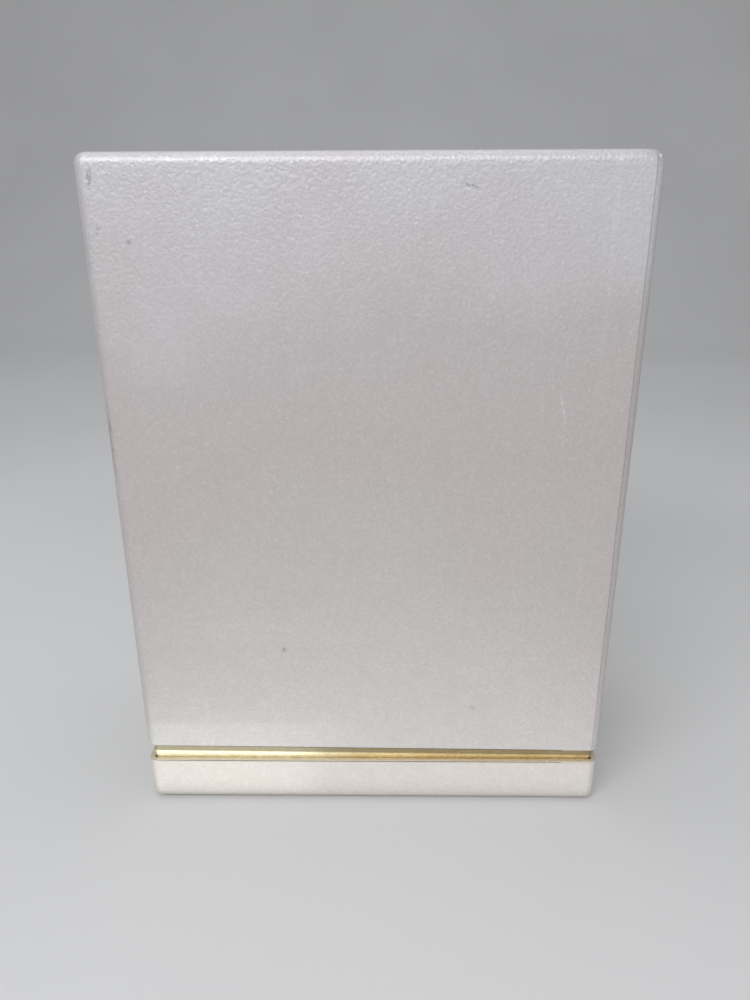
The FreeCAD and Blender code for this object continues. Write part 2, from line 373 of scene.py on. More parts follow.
def pearl_paper(name, tones, worn=False, gold_reflection_rim=None):
    """Pearl coated paper with a skin grain, mica flakes and painted glints on them.

    Its tones drift at random and also change from the box's foot to its top; that change is
    painted light and reflection. It can have scuffs and a seam on the front, and a painted
    reflection of the gold foil near the rim, at a height given in mm."""
    s = Shade(name, Metallic=0.36, IOR=1.5)
    x, y, z = s.split(s.mm)
    height = s.math("MULTIPLY", z, MM / LID_HI.z)
    drift = s.noise(0.024, detail=3.0, rough=0.55)
    mixed = s.math("ADD", height, s.math("MULTIPLY", s.math("SUBTRACT", drift, 0.5), 0.8))
    # ramp by height and drift: the change with height is painted light and reflection, the drift
    # is the paper's own tone
    colour = s.ramp(mixed, list(zip(TONE_HEIGHTS, tones)))
    mottle = s.noise(0.33, detail=4.0, rough=0.6)
    colour = s.mix(s.remap(mottle, 0.35, 0.7, 0.0, 0.05), colour, (0.40, 0.39, 0.39))
    pores = s.cells(2.2, feature="SMOOTH_F1")
    creases = s.noise(3.3, detail=3.0, rough=0.6, distortion=0.6)
    grain = s.math("ADD", s.math("MULTIPLY", pores, 0.75), s.math("MULTIPLY", creases, 0.6))
    # painted shade: the skin grain's hollows darkened
    colour = s.mix(s.remap(grain, 0.42, 0.95, 0.10, 0.0), colour, (0.20, 0.19, 0.20))
    flake = s.split(s.cells(3.4, output="Color"))[0]
    glint = s.remap(flake, 0.90, 0.99)
    # painted glints: mica flakes given a near-white colour, stronger towards the top where the
    # light grazes
    shine = s.math("MULTIPLY", s.remap(height, 0.1, 1.0, 0.05, 0.16), glint)
    colour = s.mix(shine, colour, (0.95, 0.96, 1.0))
    if worn:
        broken = s.remap(s.noise(2.2, detail=3.0, rough=0.7), 0.42, 0.58)
        dark = s.math("MULTIPLY", s.remap(scuffs(s, DARK_SCUFFS), 0.0, 0.75, 0.0, 0.55), broken)
        pale = s.math("MULTIPLY", s.remap(scuffs(s, PALE_SCUFFS), 0.0, 0.6, 0.0, 0.45), broken)
        colour = s.mix(dark, colour, (0.16, 0.15, 0.15))
        seam = s.math("MULTIPLY", front_seam(s, x, y), 0.5)
        colour = s.mix(seam, colour, (0.24, 0.22, 0.22))
        colour = s.mix(pale, colour, (0.92, 0.92, 0.93))
    if gold_reflection_rim is not None:
        # painted reflection: the pearl paper tinted gold near its rim, where the gold neck is
        # mirrored in it
        level = s.math("ADD", z, s.math("MULTIPLY", creases, 0.10))
        painted_gold_reflection = s.remap(level, gold_reflection_rim - 0.32, gold_reflection_rim + 0.04, 0.0, 0.42)
        colour = s.mix(painted_gold_reflection, colour, (0.86, 0.68, 0.36))
    s.to("Base Color", colour)
    rough = s.remap(mottle, 0.3, 0.7, 0.44, 0.50)
    s.to("Roughness", s.math("SUBTRACT", rough, s.math("MULTIPLY", glint, 0.08)))
    s.to("Normal", s.bump(grain, 0.08, 1.0))
    return s.material


def gold_foil():
    """Thin gold foil paper, burnished and finely wrinkled.

    The strip below the lid's edge has a painted highlight, paler at the left, and a painted
    shadow band along that edge, strongest on the front."""
    s = Shade("gold_foil_paper", Metallic=1.0)
    patches = s.noise(0.12, detail=3.0, rough=0.6)
    colour = s.ramp(patches, (
        (0.32, (0.68, 0.50, 0.23)), (0.5, (0.75, 0.58, 0.30)), (0.68, (0.82, 0.67, 0.38))
    ))
    streaks = s.noise(1.0, detail=4.0, rough=0.65, where=s.warp(scale=(0.45, 0.45, 1.6)),
                      distortion=1.4)
    fine = s.noise(4.5, detail=3.0, rough=0.6)
    pits = s.remap(s.cells(0.22), 0.0, 0.06, 1.0, 0.0)
    colour = s.mix(s.math("MULTIPLY", pits, 0.75), colour, (0.10, 0.06, 0.03))

    x, y, z = s.split(s.mm)
    edge = LID_LO.z / MM
    slant = s.math("MULTIPLY", x, UNEVEN_LEFT / (2 * HALF_X))
    level = s.math("ADD", z, s.math("MULTIPLY", fine, 0.25))
    level = s.math("SUBTRACT", s.math("ADD", level, slant), UNEVEN_LEFT / MM / 2)
    # painted highlight: the strip just below the lid's edge made pale yellow, most at the left
    below = s.remap(level, edge - 0.1, edge + 0.3, 1.0, 0.0)
    painted_highlight = s.math("MULTIPLY", below, s.remap(x, -16.0, 2.0, 0.85, 0.0))
    colour = s.mix(painted_highlight, colour, (0.97, 0.95, 0.72))
    # painted shadow: a dark olive band along the lid's lower edge, strongest on the front
    line = s.math(
        "MULTIPLY", s.remap(level, edge - 1.6, edge - 1.2),
        s.remap(level, edge + 0.4, edge + 1.4, 1.0, 0.0)
    )
    painted_shade_front = s.remap(y, FRONT + 1.2, FRONT + 2.5, 0.80, 0.30)
    colour = s.mix(s.math("MULTIPLY", line, painted_shade_front), colour, (0.14, 0.12, 0.07))

    s.to("Base Color", colour)
    s.to("Roughness", s.remap(streaks, 0.3, 0.7, 0.17, 0.36))
    under = s.bump(streaks, 0.09, 0.6)
    s.to("Normal", s.bump(fine, 0.012, 0.5, under=under))
    return s.material


def fibre_board(name, dark, light, flecks=(0.25, 0.23, 0.2)):
    """Raw board or plain paper: pressed fibres, flecks and a soft tooth."""
    s = Shade(name, Roughness=0.85)
    fibres = s.noise(1.1, detail=5.0, rough=0.7, where=s.warp(scale=(0.5, 1.3, 1.0)),
                     distortion=0.8)
    colour = s.ramp(fibres, ((0.3, dark), (0.7, light)))
    speck = s.remap(s.cells(1.3), 0.05, 0.11, 0.5, 0.0)
    colour = s.mix(speck, colour, flecks)
    s.to("Base Color", colour)
    s.to("Roughness", s.remap(fibres, 0.3, 0.7, 0.78, 0.92))
    s.to("Normal", s.bump(fibres, 0.03, 0.6))
    return s.material


def kraft_tape():
    """Gummed kraft tape with long fibres and a slight shine."""
    s = Shade("kraft_tape", Roughness=0.6)
    fibres = s.noise(1.6, detail=5.0, rough=0.7, where=s.warp(scale=(1.4, 1.4, 0.25)))
    colour = s.ramp(fibres, ((0.3, (0.36, 0.23, 0.11)), (0.7, (0.56, 0.38, 0.2))))
    s.to("Base Color", colour)
    s.to("Roughness", s.remap(fibres, 0.3, 0.7, 0.5, 0.7))
    s.to("Normal", s.bump(fibres, 0.02, 0.6))
    return s.material


def open_foam():
    """Charcoal packing foam with open cells."""
    s = Shade("charcoal_foam", Roughness=0.95)
    holes = s.cells(1.4, feature="SMOOTH_F1")
    colour = s.ramp(holes, ((0.1, (0.006, 0.006, 0.007)), (0.6, (0.035, 0.035, 0.038))))
    shade = s.noise(0.2, detail=3.0)
    colour = s.mix(s.remap(shade, 0.35, 0.65, 0.0, 0.35), colour, (0.05, 0.05, 0.052))
    s.to("Base Color", colour)
    s.to("Roughness", s.remap(shade, 0.3, 0.7, 0.88, 0.98))
    s.to("Normal", s.bump(holes, 0.25, 0.8))
    return s.material


def flock():
    """Black flocked card: short pile that brushes lighter and darker."""
    s = Shade("black_flock", Roughness=0.95, Sheen_Weight=0.7, Sheen_Roughness=0.35)
    nap = s.noise(0.16, detail=4.0, rough=0.65, distortion=0.8)
    pile = s.noise(7.0, detail=3.0, rough=0.7)
    colour = s.ramp(nap, ((0.35, (0.008, 0.007, 0.009)), (0.65, (0.024, 0.022, 0.026))))
    colour = s.mix(s.remap(pile, 0.45, 0.7, 0.0, 0.5), colour, (0.045, 0.042, 0.05))
    s.to("Base Color", colour)
    s.to("Roughness", s.remap(nap, 0.3, 0.7, 0.85, 0.98))
    s.to("Normal", s.bump(pile, 0.08, 0.9))
    return s.material


def felt():
    """Wine red felt with matted fibres."""
    s = Shade("wine_felt", Roughness=0.95, Sheen_Weight=0.5, Sheen_Roughness=0.5)
    fibres = s.noise(2.4, detail=6.0, rough=0.75, distortion=1.5)
    colour = s.ramp(fibres, ((0.3, (0.07, 0.008, 0.013)), (0.7, (0.20, 0.03, 0.04))))
    s.to("Base Color", colour)
    s.to("Roughness", s.remap(fibres, 0.3, 0.7, 0.85, 0.98))
    s.to("Normal", s.bump(fibres, 0.15, 0.9))
    return s.material


def turned_metal():
    """Gold anodised aluminium with fine turning lines about the cup's axis."""
    s = Shade("anodised_cup", Metallic=1.0)
    x, y, z = s.split(s.warp(location=(0, 0, -CUP_AXIS / MM)))
    radius = s.math("SQRT", s.math("ADD", s.math("MULTIPLY", x, x), s.math("MULTIPLY", z, z)))
    join = s.add("ShaderNodeCombineXYZ")
    s.link(radius, join.inputs[0])
    s.link(y, join.inputs[1])
    lines = s.noise(9.0, detail=2.0, where=join.outputs[0])
    tone = s.noise(0.12, detail=3.0)
    colour = s.ramp(tone, ((0.35, (0.66, 0.45, 0.17)), (0.65, (0.78, 0.57, 0.26))))
    rub = s.remap(s.noise(1.3, detail=4.0, rough=0.7), 0.62, 0.72, 0.0, 0.35)
    colour = s.mix(rub, colour, (0.85, 0.72, 0.5))
    s.to("Base Color", colour)
    s.to("Roughness", s.remap(lines, 0.3, 0.7, 0.2, 0.34))
    s.to("Normal", s.bump(lines, 0.006, 0.7))
    return s.material


def cast_rosin():
    """Amber rosin: clear and glossy inside, with faint flow lines and pale dust."""
    s = Shade("amber_rosin", IOR=1.54, Transmission_Weight=0.55, Coat_Weight=0.4,
              Coat_Roughness=0.08)
    depth = s.noise(0.05, detail=3.0, rough=0.6, distortion=1.2)
    colour = s.ramp(depth, (
        (0.30, (0.20, 0.045, 0.004)), (0.52, (0.42, 0.12, 0.012)), (0.72, (0.62, 0.23, 0.03))
    ))
    dust = s.remap(s.noise(0.9, detail=6.0, rough=0.75), 0.56, 0.74, 0.0, 0.32)
    colour = s.mix(dust, colour, (0.85, 0.70, 0.50))
    s.to("Base Color", colour)
    s.to("Roughness", s.math("ADD", s.math("MULTIPLY", dust, 1.1), 0.1))
    flow = s.noise(0.11, detail=2.0, distortion=2.0)
    under = s.bump(flow, 0.25, 0.5)
    s.to("Normal", s.bump(s.noise(1.7, detail=3.0), 0.01, 0.6, under=under))
    return s.material


def studio_paper(name, low, high):
    """Matt background paper with a barely uneven tone."""
    s = Shade(name, Roughness=0.9)
    tone = s.noise(0.006, detail=2.0)
    s.to("Base Color", s.ramp(tone, ((0.35, low), (0.65, high))))
    return s.material


# lid tones from foot to top: painted light and reflection, with warm floor light low down, a
# darker rose middle and a lighter cool top, over the pearl paper's own tone
LID_PAPER = pearl_paper("pearl_paper_lid", (
    (0.610, 0.598, 0.580), (0.606, 0.576, 0.564), (0.602, 0.542, 0.540),
    (0.608, 0.565, 0.560), (0.675, 0.660, 0.680)
), worn=True)
# warmer than the lid's paper: partly painted warm light off the floor, partly the paper's own
# tone
BASE_PAPER = pearl_paper("pearl_paper_base", (
    (0.690, 0.656, 0.615), (0.695, 0.658, 0.622), (0.692, 0.656, 0.628),
    (0.690, 0.664, 0.632), (0.690, 0.664, 0.636)
), gold_reflection_rim=BASE_HI.z / MM)
GOLD = gold_foil()
GREY_BOARD = fibre_board("grey_board", (0.19, 0.18, 0.165), (0.31, 0.295, 0.27))
LINING_PAPER = fibre_board(
    "lining_paper", (0.66, 0.65, 0.62), (0.78, 0.77, 0.74), (0.55, 0.52, 0.47)
)
BOTTOM_PAPER = fibre_board(
    "bottom_paper", (0.60, 0.59, 0.57), (0.72, 0.71, 0.69), (0.45, 0.43, 0.4)
)
KRAFT = kraft_tape()
FOAM = open_foam()
FLOCK = flock()
FELT = felt()
METAL = turned_metal()
ROSIN = cast_rosin()


# ---- lid and base -----------------------------------------------------------------------
CORNER = Vector((HALF_X, -HALF_Y, LID_HI.z))
DENT_WAY = Vector((-1, 1, -1)).normalized()
DENT_DEPTH = 0.62 * MM
DENT_REACH = 1.7 * MM
FOLD_AT = Vector((HALF_X - 0.9 * MM, -HALF_Y, LID_LO.z + 0.9 * MM))
FOLD_DEPTH = 0.07 * MM
FOLD_REACH = 1.3 * MM
FACE_INSETS = [i * MM for i in (2.2, 3.2, 4.6, 6.4, 8.6, 11.2, 14.0, 17.0, 19.6, 20.7)]
TO_FACE = range(10, 100, 10)                # angles of a bend from a side on to a flat face


def handled(point):
    """The lid as used: one front corner knocked in and the lower edge a little uneven."""
    p = point + DENT_WAY * DENT_DEPTH * exp(-((point - CORNER).length / DENT_REACH) ** 2)
    share = (p.x + HALF_X) / (2 * HALF_X)
    shift = UNEVEN_LEFT * (1 - share)
    p.z += shift * (1 - smooth(p.z - LID_LO.z, 0, UNEVEN_REACH))
    return p


def inset_ring(inset, radius, z):
    """Ring inside the box's outline, by the same inset all round."""
    return ring(HALF_X - inset, HALF_Y - inset, max(radius, 0.05 * MM), z)


def plain(points):
    """Only the places of a ring's points."""
    return [p for p, _, _, _ in points]


def papered(points, up):
    """Outer points with the paper's steps pressed in along the outward normal."""
    result = []
    for p, n, left, right in points:
        out = (n * cos(up) + Vector((0, 0, sin(up)))).normalized()
        result.append(p - out * paper_sink(p, left, right) * cos(up))
    return result


def levels(low, high, step):
    """Even places from low to high, about a step apart."""
    count = max(1, round((high - low) / step))
    return [low + (high - low) * k / count for k in range(count + 1)]


def wall(inset, radius, heights):
    """Rings up or down a straight wall."""
    return [plain(inset_ring(inset, radius, z)) for z in heights]


def face(z):
    """Rings over a flat face, from its edge inwards."""
    return [plain(inset_ring(inset, TIGHT_RADIUS, z)) for inset in FACE_INSETS]


def bend(inset, radius, z, angles, finish=lambda row, a: plain(row)):
    """Rings round an edge that leaves its side at z: upwards, or down where angles are < 0."""
    rings = []
    for angle in angles:
        a = radians(angle)
        inward = inset + radius * (1 - cos(a))
        row = inset_ring(inward, EDGE_RADIUS - inward, z + radius * sin(a))
        rings.append(finish(row, a))
    return rings


def lid_paper():
    """Pearl paper over the lid's board, from its inner side round the rim to the top."""
    board_top = LID_BOARD_HI.z
    board_foot = LID_BOARD_LO.z
    foot = LID_LO.z
    turn_top = LINING_LO.z
    side_top = LID_HI.z - CAP_RADIUS
    board_cap = CAP_RADIUS - WRAP

    rings = face(board_top)[::-1]
    rings += bend(WRAP, board_cap, board_top - board_cap, (90, 60, 30, 0))
    rings += wall(WRAP, EDGE_RADIUS - WRAP, levels(board_foot, board_top - 3 * MM, 12 * MM)[::-1])
    rings += wall(WRAP + BOARD, FOLD_RADIUS, (board_foot, board_foot + UNEVEN_CLEAR, turn_top))
    rings += wall(WALL, FOLD_RADIUS, (
        turn_top, foot + UNEVEN_CLEAR, foot + 3 * MM, foot + 1.2 * MM, foot + 0.12 * MM
    ))
    rings += wall(WALL - 0.1 * MM, FOLD_RADIUS, (foot,))
    rings += bend(0, RIM_RADIUS, foot + RIM_RADIUS, (-90, -60, -30, 0), papered)
    heights = levels(foot + 0.8 * MM, foot + 4 * MM, 0.45 * MM)
    heights += levels(foot + 5.2 * MM, side_top - 4 * MM, 1.3 * MM)
    heights += levels(side_top - 3.2 * MM, side_top, 0.5 * MM)
    rings += [papered(inset_ring(0, EDGE_RADIUS, z), 0) for z in heights]
    rings += bend(0, CAP_RADIUS, side_top, TO_FACE, papered)
    rings += face(LID_HI.z)

    rings = [[handled(p) for p in r] for r in rings]
    corner_fold(rings)
    obj = closed_loft(rings, "lid_pearl_paper")
    fit_out(obj, "lid", "pearl_paper", LID_PAPER, "lid_wrap")


def corner_fold(rings):
    """Pinched fold of spare paper at the lid's lower right front corner."""
    for r in rings:
        for p in r:
            d = p - FOLD_AT
            if d.length < 3 * MM and d.y < 0.5 * MM:
                ridge = (d.z / MM) - 0.9 * (d.x / MM)
                pull = exp(-(d.length / FOLD_REACH) ** 2)
                p.y += FOLD_DEPTH * pull * (0.5 + 0.5 * cos(ridge * 4.2))


def lid_core():
    """The lid's folded board, knocked in at the same corner as its paper."""
    foot, top, ceiling = LID_BOARD_LO.z, LID_BOARD_HI.z, LINING_HI.z
    board_cap = CAP_RADIUS - WRAP
    side_top = top - board_cap

    rings = face(ceiling)[::-1]
    rings += wall(WRAP + BOARD, FOLD_RADIUS, levels(foot + UNEVEN_CLEAR, ceiling, 8 * MM)[::-1])
    rings += wall(WRAP + BOARD, FOLD_RADIUS, (foot,))
    rings += wall(WRAP, EDGE_RADIUS - WRAP, (foot,))
    rings += wall(WRAP, EDGE_RADIUS - WRAP, levels(foot + UNEVEN_CLEAR, side_top, 8 * MM))
    rings += bend(WRAP, board_cap, side_top, (20, 40, 60, 90))
    rings += face(top)

    rings = [[handled(p) for p in r] for r in rings]
    obj = closed_loft(rings, "lid_grey_board")
    fit_out(obj, "lid", "grey_board", GREY_BOARD, "lid_board")


def base_paper():
    """Pearl paper over the base tray, from its inner side over the rim to the underside."""
    board_foot, board_top = BASE_BOARD_LO.z, BASE_BOARD_HI.z
    top = BASE_HI.z
    turn_foot = top - BASE_TURN_IN
    side_foot = BASE_LO.z + CAP_RADIUS
    board_cap = CAP_RADIUS - WRAP

    rings = face(board_foot)[::-1]
    rings += bend(WRAP, board_cap, board_foot + board_cap, (-90, -60, -30, 0))
    rings += wall(WRAP, EDGE_RADIUS - WRAP, (board_top,))
    rings += wall(WRAP + BOARD, FOLD_RADIUS, (board_top, turn_foot))
    rings += wall(WALL, FOLD_RADIUS, (turn_foot, top - 0.3 * MM))
    rings += wall(NECK_INSET, FOLD_RADIUS, (top - 0.06 * MM,))
    rings += wall(NECK_INSET - 0.12 * MM, FOLD_RADIUS, (top,))
    rings += bend(0, RIM_RADIUS, top - RIM_RADIUS, (90, 60, 30, 0), papered)
    heights = levels(side_foot, top - 0.8 * MM, 0.5 * MM)[::-1]
    rings += [papered(inset_ring(0, EDGE_RADIUS, z), 0) for z in heights]
    rings += bend(0, CAP_RADIUS, side_foot, [-angle for angle in TO_FACE], papered)
    rings += face(BASE_LO.z)

    obj = closed_loft(rings, "base_pearl_paper")
    fit_out(obj, "base", "pearl_paper", BASE_PAPER, "base_wrap")


# ---- neck -------------------------------------------------------------------------------
FOIL_WRINKLE = 0.05 * MM


def foil_sink(point):
    """Fine wrinkles where the foil has let go of the board here and there."""
    q = Vector((point.x * 150, point.y * 150, point.z * 420))
    wave = noise.noise(q) * 0.5 + noise.noise(q * 2.3) * 0.3 + 0.35
    return max(0.0, min(wave, 1.0)) * FOIL_WRINKLE


def neck_foil():
    """Gold foil round the neck's outside, over its top and turned in."""
    board_out = NECK_INSET + FOIL
    board_in = board_out + BOARD
    turned = board_in + FOIL
    top = NECK_HI.z
    turn_foot = top - FOIL_TURN_IN

    rings = wall(board_out, NECK_RADIUS - FOIL, (NECK_LO.z, NECK_BOARD_HI.z))
    rings += wall(board_in, FOLD_RADIUS, (NECK_BOARD_HI.z, turn_foot))
    rings += wall(turned, FOLD_RADIUS - FOIL, levels(turn_foot, top - 0.1 * MM, 1.5 * MM))
    rings += wall(turned - 0.1 * MM, FOLD_RADIUS, (top,))
    rings += wall(board_out, NECK_RADIUS - FOIL, (top,))
    heights = levels(NECK_LO.z, BASE_HI.z - 0.5 * MM, 2 * MM)
    heights += levels(BASE_HI.z, LID_LO.z + 0.5 * MM, 0.25 * MM)
    heights += levels(LID_LO.z + 1.2 * MM, top - 0.25 * MM, 0.9 * MM)
    for z in heights[::-1]:
        row = inset_ring(NECK_INSET, NECK_RADIUS, z)
        rings.append([p - n * foil_sink(p) for p, n, _, _ in row])

    obj = closed_loft(rings, "neck_gold_foil", cap=False)
    fit_out(obj, "base", "gold_foil", GOLD, "neck_foil_wrap")


# ---- insert -----------------------------------------------------------------------------
CARD_CORNER = 1.0 * MM
CARD_SOFTNESS = 0.12 * MM                   # of its edges
SLOT_CORNER = 0.4 * MM
SLOT_GAP = 0.3 * MM
FLOCK_UNEVEN = 0.03 * MM
FOAM_SOFTNESS = 0.3 * MM                    # of a slab's long edges
FOAM_CORNER = 0.5 * MM
FOAM_UNEVEN = 0.05 * MM
SEAT_GAP = 0.15 * MM                        # between the cup and its foam seat
SEAT_UNEVEN = 0.06 * MM
SEAT_STEPS = 60


def flocked_cover():
    """Flocked card with rounded cut edges round the cup's slot."""
    slot_x = sqrt(CUP_RADIUS ** 2 - (CUP_AXIS - COVER_HI.z) ** 2) + SLOT_GAP
    slot_y = CRADLE_HI.y
    low, high = COVER_LO.z, COVER_HI.z
    soft = CARD_SOFTNESS
    rings = []

    def lay(share, drop, z):
        """Ring at a share of the way from the card's edge to the slot's."""
        hx = COVER_HI.x * (1 - share) + slot_x * share - drop
        hy = COVER_HI.y * (1 - share) + slot_y * share - drop
        corner = CARD_CORNER * (1 - share) + SLOT_CORNER * share
        rings.append(plain(ring(hx, hy, corner, z)))

    lay(0, 0, low)
    lay(0, 0, high - soft)
    lay(0, soft, high)
    for share in (0.15, 0.3, 0.5, 0.7, 0.85):
        lay(share, 0, high)
    lay(1, -soft, high)
    lay(1, 0, high - soft)
    lay(1, 0, low)
    for share in (0.7, 0.3):
        lay(share, 0, low)
    top = [p for r in rings for p in r if abs(p.z - high) < 1e-7]
    for p in top:
        p.z -= FLOCK_UNEVEN * (0.5 + 0.5 * noise.noise(p * 400))
    obj = closed_loft(rings, "flocked_cover", cap=False)
    fit_out(obj, "base", "flocked_card", FLOCK, "insert_cover")


def foam_slab(node):
    """Sawn foam slab with slightly softened edges and an uneven sawn face."""
    lo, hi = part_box(node)
    mid = (lo + hi) / 2
    hx, hy = (hi.x - lo.x) / 2, (hi.y - lo.y) / 2
    soft = FOAM_SOFTNESS
    middle = hy - 0.4 * MM
    rings = []
    for inset, z in (
        (middle, lo.z), (soft, lo.z), (0, lo.z + soft),
        *((0, z) for z in levels(lo.z + 2 * MM, hi.z - 2 * MM, 2 * MM)),
        (0, hi.z - soft), (soft, hi.z), (middle, hi.z),
    ):
        row = ring(hx - inset, hy - inset, max(FOAM_CORNER - inset, 0.1 * MM), z)
        rings.append([
            p - n * FOAM_UNEVEN * (0.5 + 0.5 * noise.noise(p * 500)) + Vector((0, mid.y, 0))
            for p, n, _, _ in row
        ])
    obj = closed_loft(rings, node.replace("_layer", "_foam"))
    fit_out(obj, "base", "foam", FOAM, node)


def foam_cradle():
    """Middle foam slice, sawn to the cup's round."""
    lo, hi = CRADLE_LO, CRADLE_HI
    seat = CUP_RADIUS + SEAT_GAP
    reach = sqrt(seat ** 2 - (CUP_AXIS - hi.z) ** 2)
    outline = []
    for x in levels(lo.x, hi.x, 3 * MM)[::-1]:
        outline.append((x, lo.z))
    for z in levels(lo.z, hi.z, 3 * MM)[1:]:
        outline.append((lo.x, z))
    for x in levels(lo.x, -reach, 2 * MM)[1:-1]:
        outline.append((x, hi.z))
    for k in range(SEAT_STEPS + 1):
        x = -reach + 2 * reach * k / SEAT_STEPS
        outline.append((x, CUP_AXIS - sqrt(seat ** 2 - x ** 2)))
    for x in levels(reach, hi.x, 2 * MM)[1:-1]:
        outline.append((x, hi.z))
    for z in levels(lo.z, hi.z, 3 * MM)[1:][::-1]:
        outline.append((hi.x, z))
    rings = []
    for y in levels(lo.y, hi.y, 1.2 * MM):
        row = []
        for x, z in outline:
            p = Vector((x, y, z))
            away = Vector((x, 0, z - CUP_AXIS))
            if abs(away.length - seat) < 1e-6 and abs(x) < reach - 0.1 * MM:
                p += away.normalized() * SEAT_UNEVEN * (0.5 + 0.5 * noise.noise(p * 450))
            row.append(p)
        rings.append(row)
    obj = closed_loft(rings, "insert_cradle_foam")
    fit_out(obj, "base", "foam", FOAM, "insert_cradle_layer")


# ---- cup, felt and rosin ----------------------------------------------------------------
GROOVE = 0.35 * MM
GROOVE_PITCH = 2.0 * MM
CUP_EDGE = 0.45 * MM
FELT_GAP = 0.15 * MM
ROSIN_EDGE = 1.2 * MM
ROSIN_DISH = 0.4 * MM


def lathe(name, profile, ripple=None, segments=144):
    """Closed body turned about the cup's axis from (radius, y) points, axis to axis."""
    verts, faces, rows = [], [], []
    for radius, y in profile:
        if radius < 1e-7:
            rows.append([len(verts)])
            verts.append(Vector((0, y, CUP_AXIS)))
            continue
        row = []
        for k in range(segments):
            a = 2 * pi * k / segments
            p = Vector((radius * cos(a), y, CUP_AXIS + radius * sin(a)))
            if ripple:
                p = ripple(p, radius)
            row.append(len(verts))
            verts.append(p)
        rows.append(row)
    for a, b in zip(rows, rows[1:]):
        for k in range(segments):
            n = (k + 1) % segments
            if len(a) == 1:
                faces.append((a[0], b[k], b[n]))
            elif len(b) == 1:
                faces.append((a[k], a[n], b[0]))
            else:
                faces.append((a[k], a[n], b[n], b[k]))
    return solid(name, verts, faces)


def rounded(profile, radius, steps=4):
    """The profile with each corner cut to a small arc, apart from its two ends."""
    result = [profile[0]]
    for before, here, after in zip(profile, profile[1:], profile[2:]):
        h = Vector(here)
        a, b = Vector(before) - h, Vector(after) - h
        cut = min(radius, a.length * 0.45, b.length * 0.45)
        start, end = h + a.normalized() * cut, h + b.normalized() * cut
        for k in range(steps + 1):
            t = k / steps
            result.append(tuple(start * (1 - t) ** 2 + h * 2 * t * (1 - t) + end * t * t))
    return result + [profile[-1]]


def cup():
    """Turned cup with three grooves, bored for the rosin and recessed for the felt."""
    back = CUP_HI.y
    rim = CUP_LO.y
    bore = ROSIN_HI.x
    recess = PAD_LO.y
    pad = PAD_HI.x + FELT_GAP
    bottom = ROSIN_HI.y
    profile = [(0, recess), (pad, recess), (pad, back), (CUP_RADIUS, back)]
    for n in (3, 2, 1):
        y = rim + GROOVE_PITCH * n
        profile += [(CUP_RADIUS, y + GROOVE), (CUP_RADIUS - GROOVE, y), (CUP_RADIUS, y - GROOVE)]
    profile += [(CUP_RADIUS, rim), (bore, rim), (bore, bottom), (0, bottom)]
    obj = lathe("turned_cup", rounded(profile, CUP_EDGE))
    fit_out(obj, "cake", "cup_metal", METAL, "cake_cup")


def rosin():
    """Cast cake with a softened edge and a shallow dish in its front."""
    front = ROSIN_LO.y
    bottom = ROSIN_HI.y - 0.02 * MM
    bore = ROSIN_HI.x - 0.02 * MM
    flat = bore - ROSIN_EDGE
    profile = [(0, bottom), (bore, bottom), (bore, front + ROSIN_EDGE), (flat, front)]
    profile = rounded(profile + [(flat * 0.97, front + ROSIN_DISH * 0.06)], 0.5 * MM, steps=5)
    for share in (0.92, 0.85, 0.75, 0.65, 0.55, 0.45, 0.35, 0.25, 0.15, 0.07, 0):
        profile.append((flat * share, front + ROSIN_DISH * (1 - share ** 2)))

    def set_rough(p, radius):
        if p.y < front + ROSIN_EDGE + 0.1 * MM and radius > 0.6 * flat:
            p.y += 0.07 * MM * (0.5 + 0.5 * noise.noise(p * 420))
        return p

    obj = lathe("amber_rosin", profile, set_rough)
    fit_out(obj, "cake", "rosin", ROSIN, "rosin_cake")


def felt_disc():
    """Felt disc in the cup's back, with a soft outer edge."""
    lo, hi = PAD_LO.y, PAD_HI.y
    radius = PAD_HI.x
    profile = [(0, lo), (radius, lo), (radius, hi)]
    profile = rounded(profile + [(radius * 0.9, hi)], 0.35 * MM)
    profile += [(radius * share, hi) for share in (0.75, 0.6, 0.45, 0.3, 0.15, 0)]

    def matted(p, _):
        if p.y > hi - 0.1 * MM:
            p.y -= 0.09 * MM * (0.5 + 0.5 * noise.noise(p * 700))
        return p

    obj = lathe("felt_disc", profile, matted)
    fit_out(obj, "cake", "felt", FELT, "cup_back_pad")


# ---- CAD nodes that keep their shape ----------------------------------------------------
def finish_node(name, material):
    """Give a CAD node its material. Its mesh stays as it is."""
    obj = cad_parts[name]
    obj.data.materials.clear()
    obj.data.materials.append(material)


lid_core()
lid_paper()
base_paper()
neck_foil()
flocked_cover()
foam_slab("insert_front_layer")
foam_slab("insert_rear_layer")
foam_cradle()
cup()
rosin()
felt_disc()
for node_name, node_material in (
    ("lid_corner_tapes", KRAFT), ("base_corner_tapes", KRAFT), ("neck_joint_tape", KRAFT),
    ("lid_lining", LINING_PAPER), ("base_floor_lining", LINING_PAPER),
    ("base_bottom_sheet", BOTTOM_PAPER), ("base_board", GREY_BOARD), ("neck_board", GREY_BOARD),
):
    finish_node(node_name, node_material)


# ---- studio -----------------------------------------------------------------------------
FLOOR_FRONT = -1.2
SWEEP_START = 0.45
SWEEP_RADIUS = 0.4
SWEEP_TOP = 1.6
SWEEP_HALF_WIDTH = 1.8


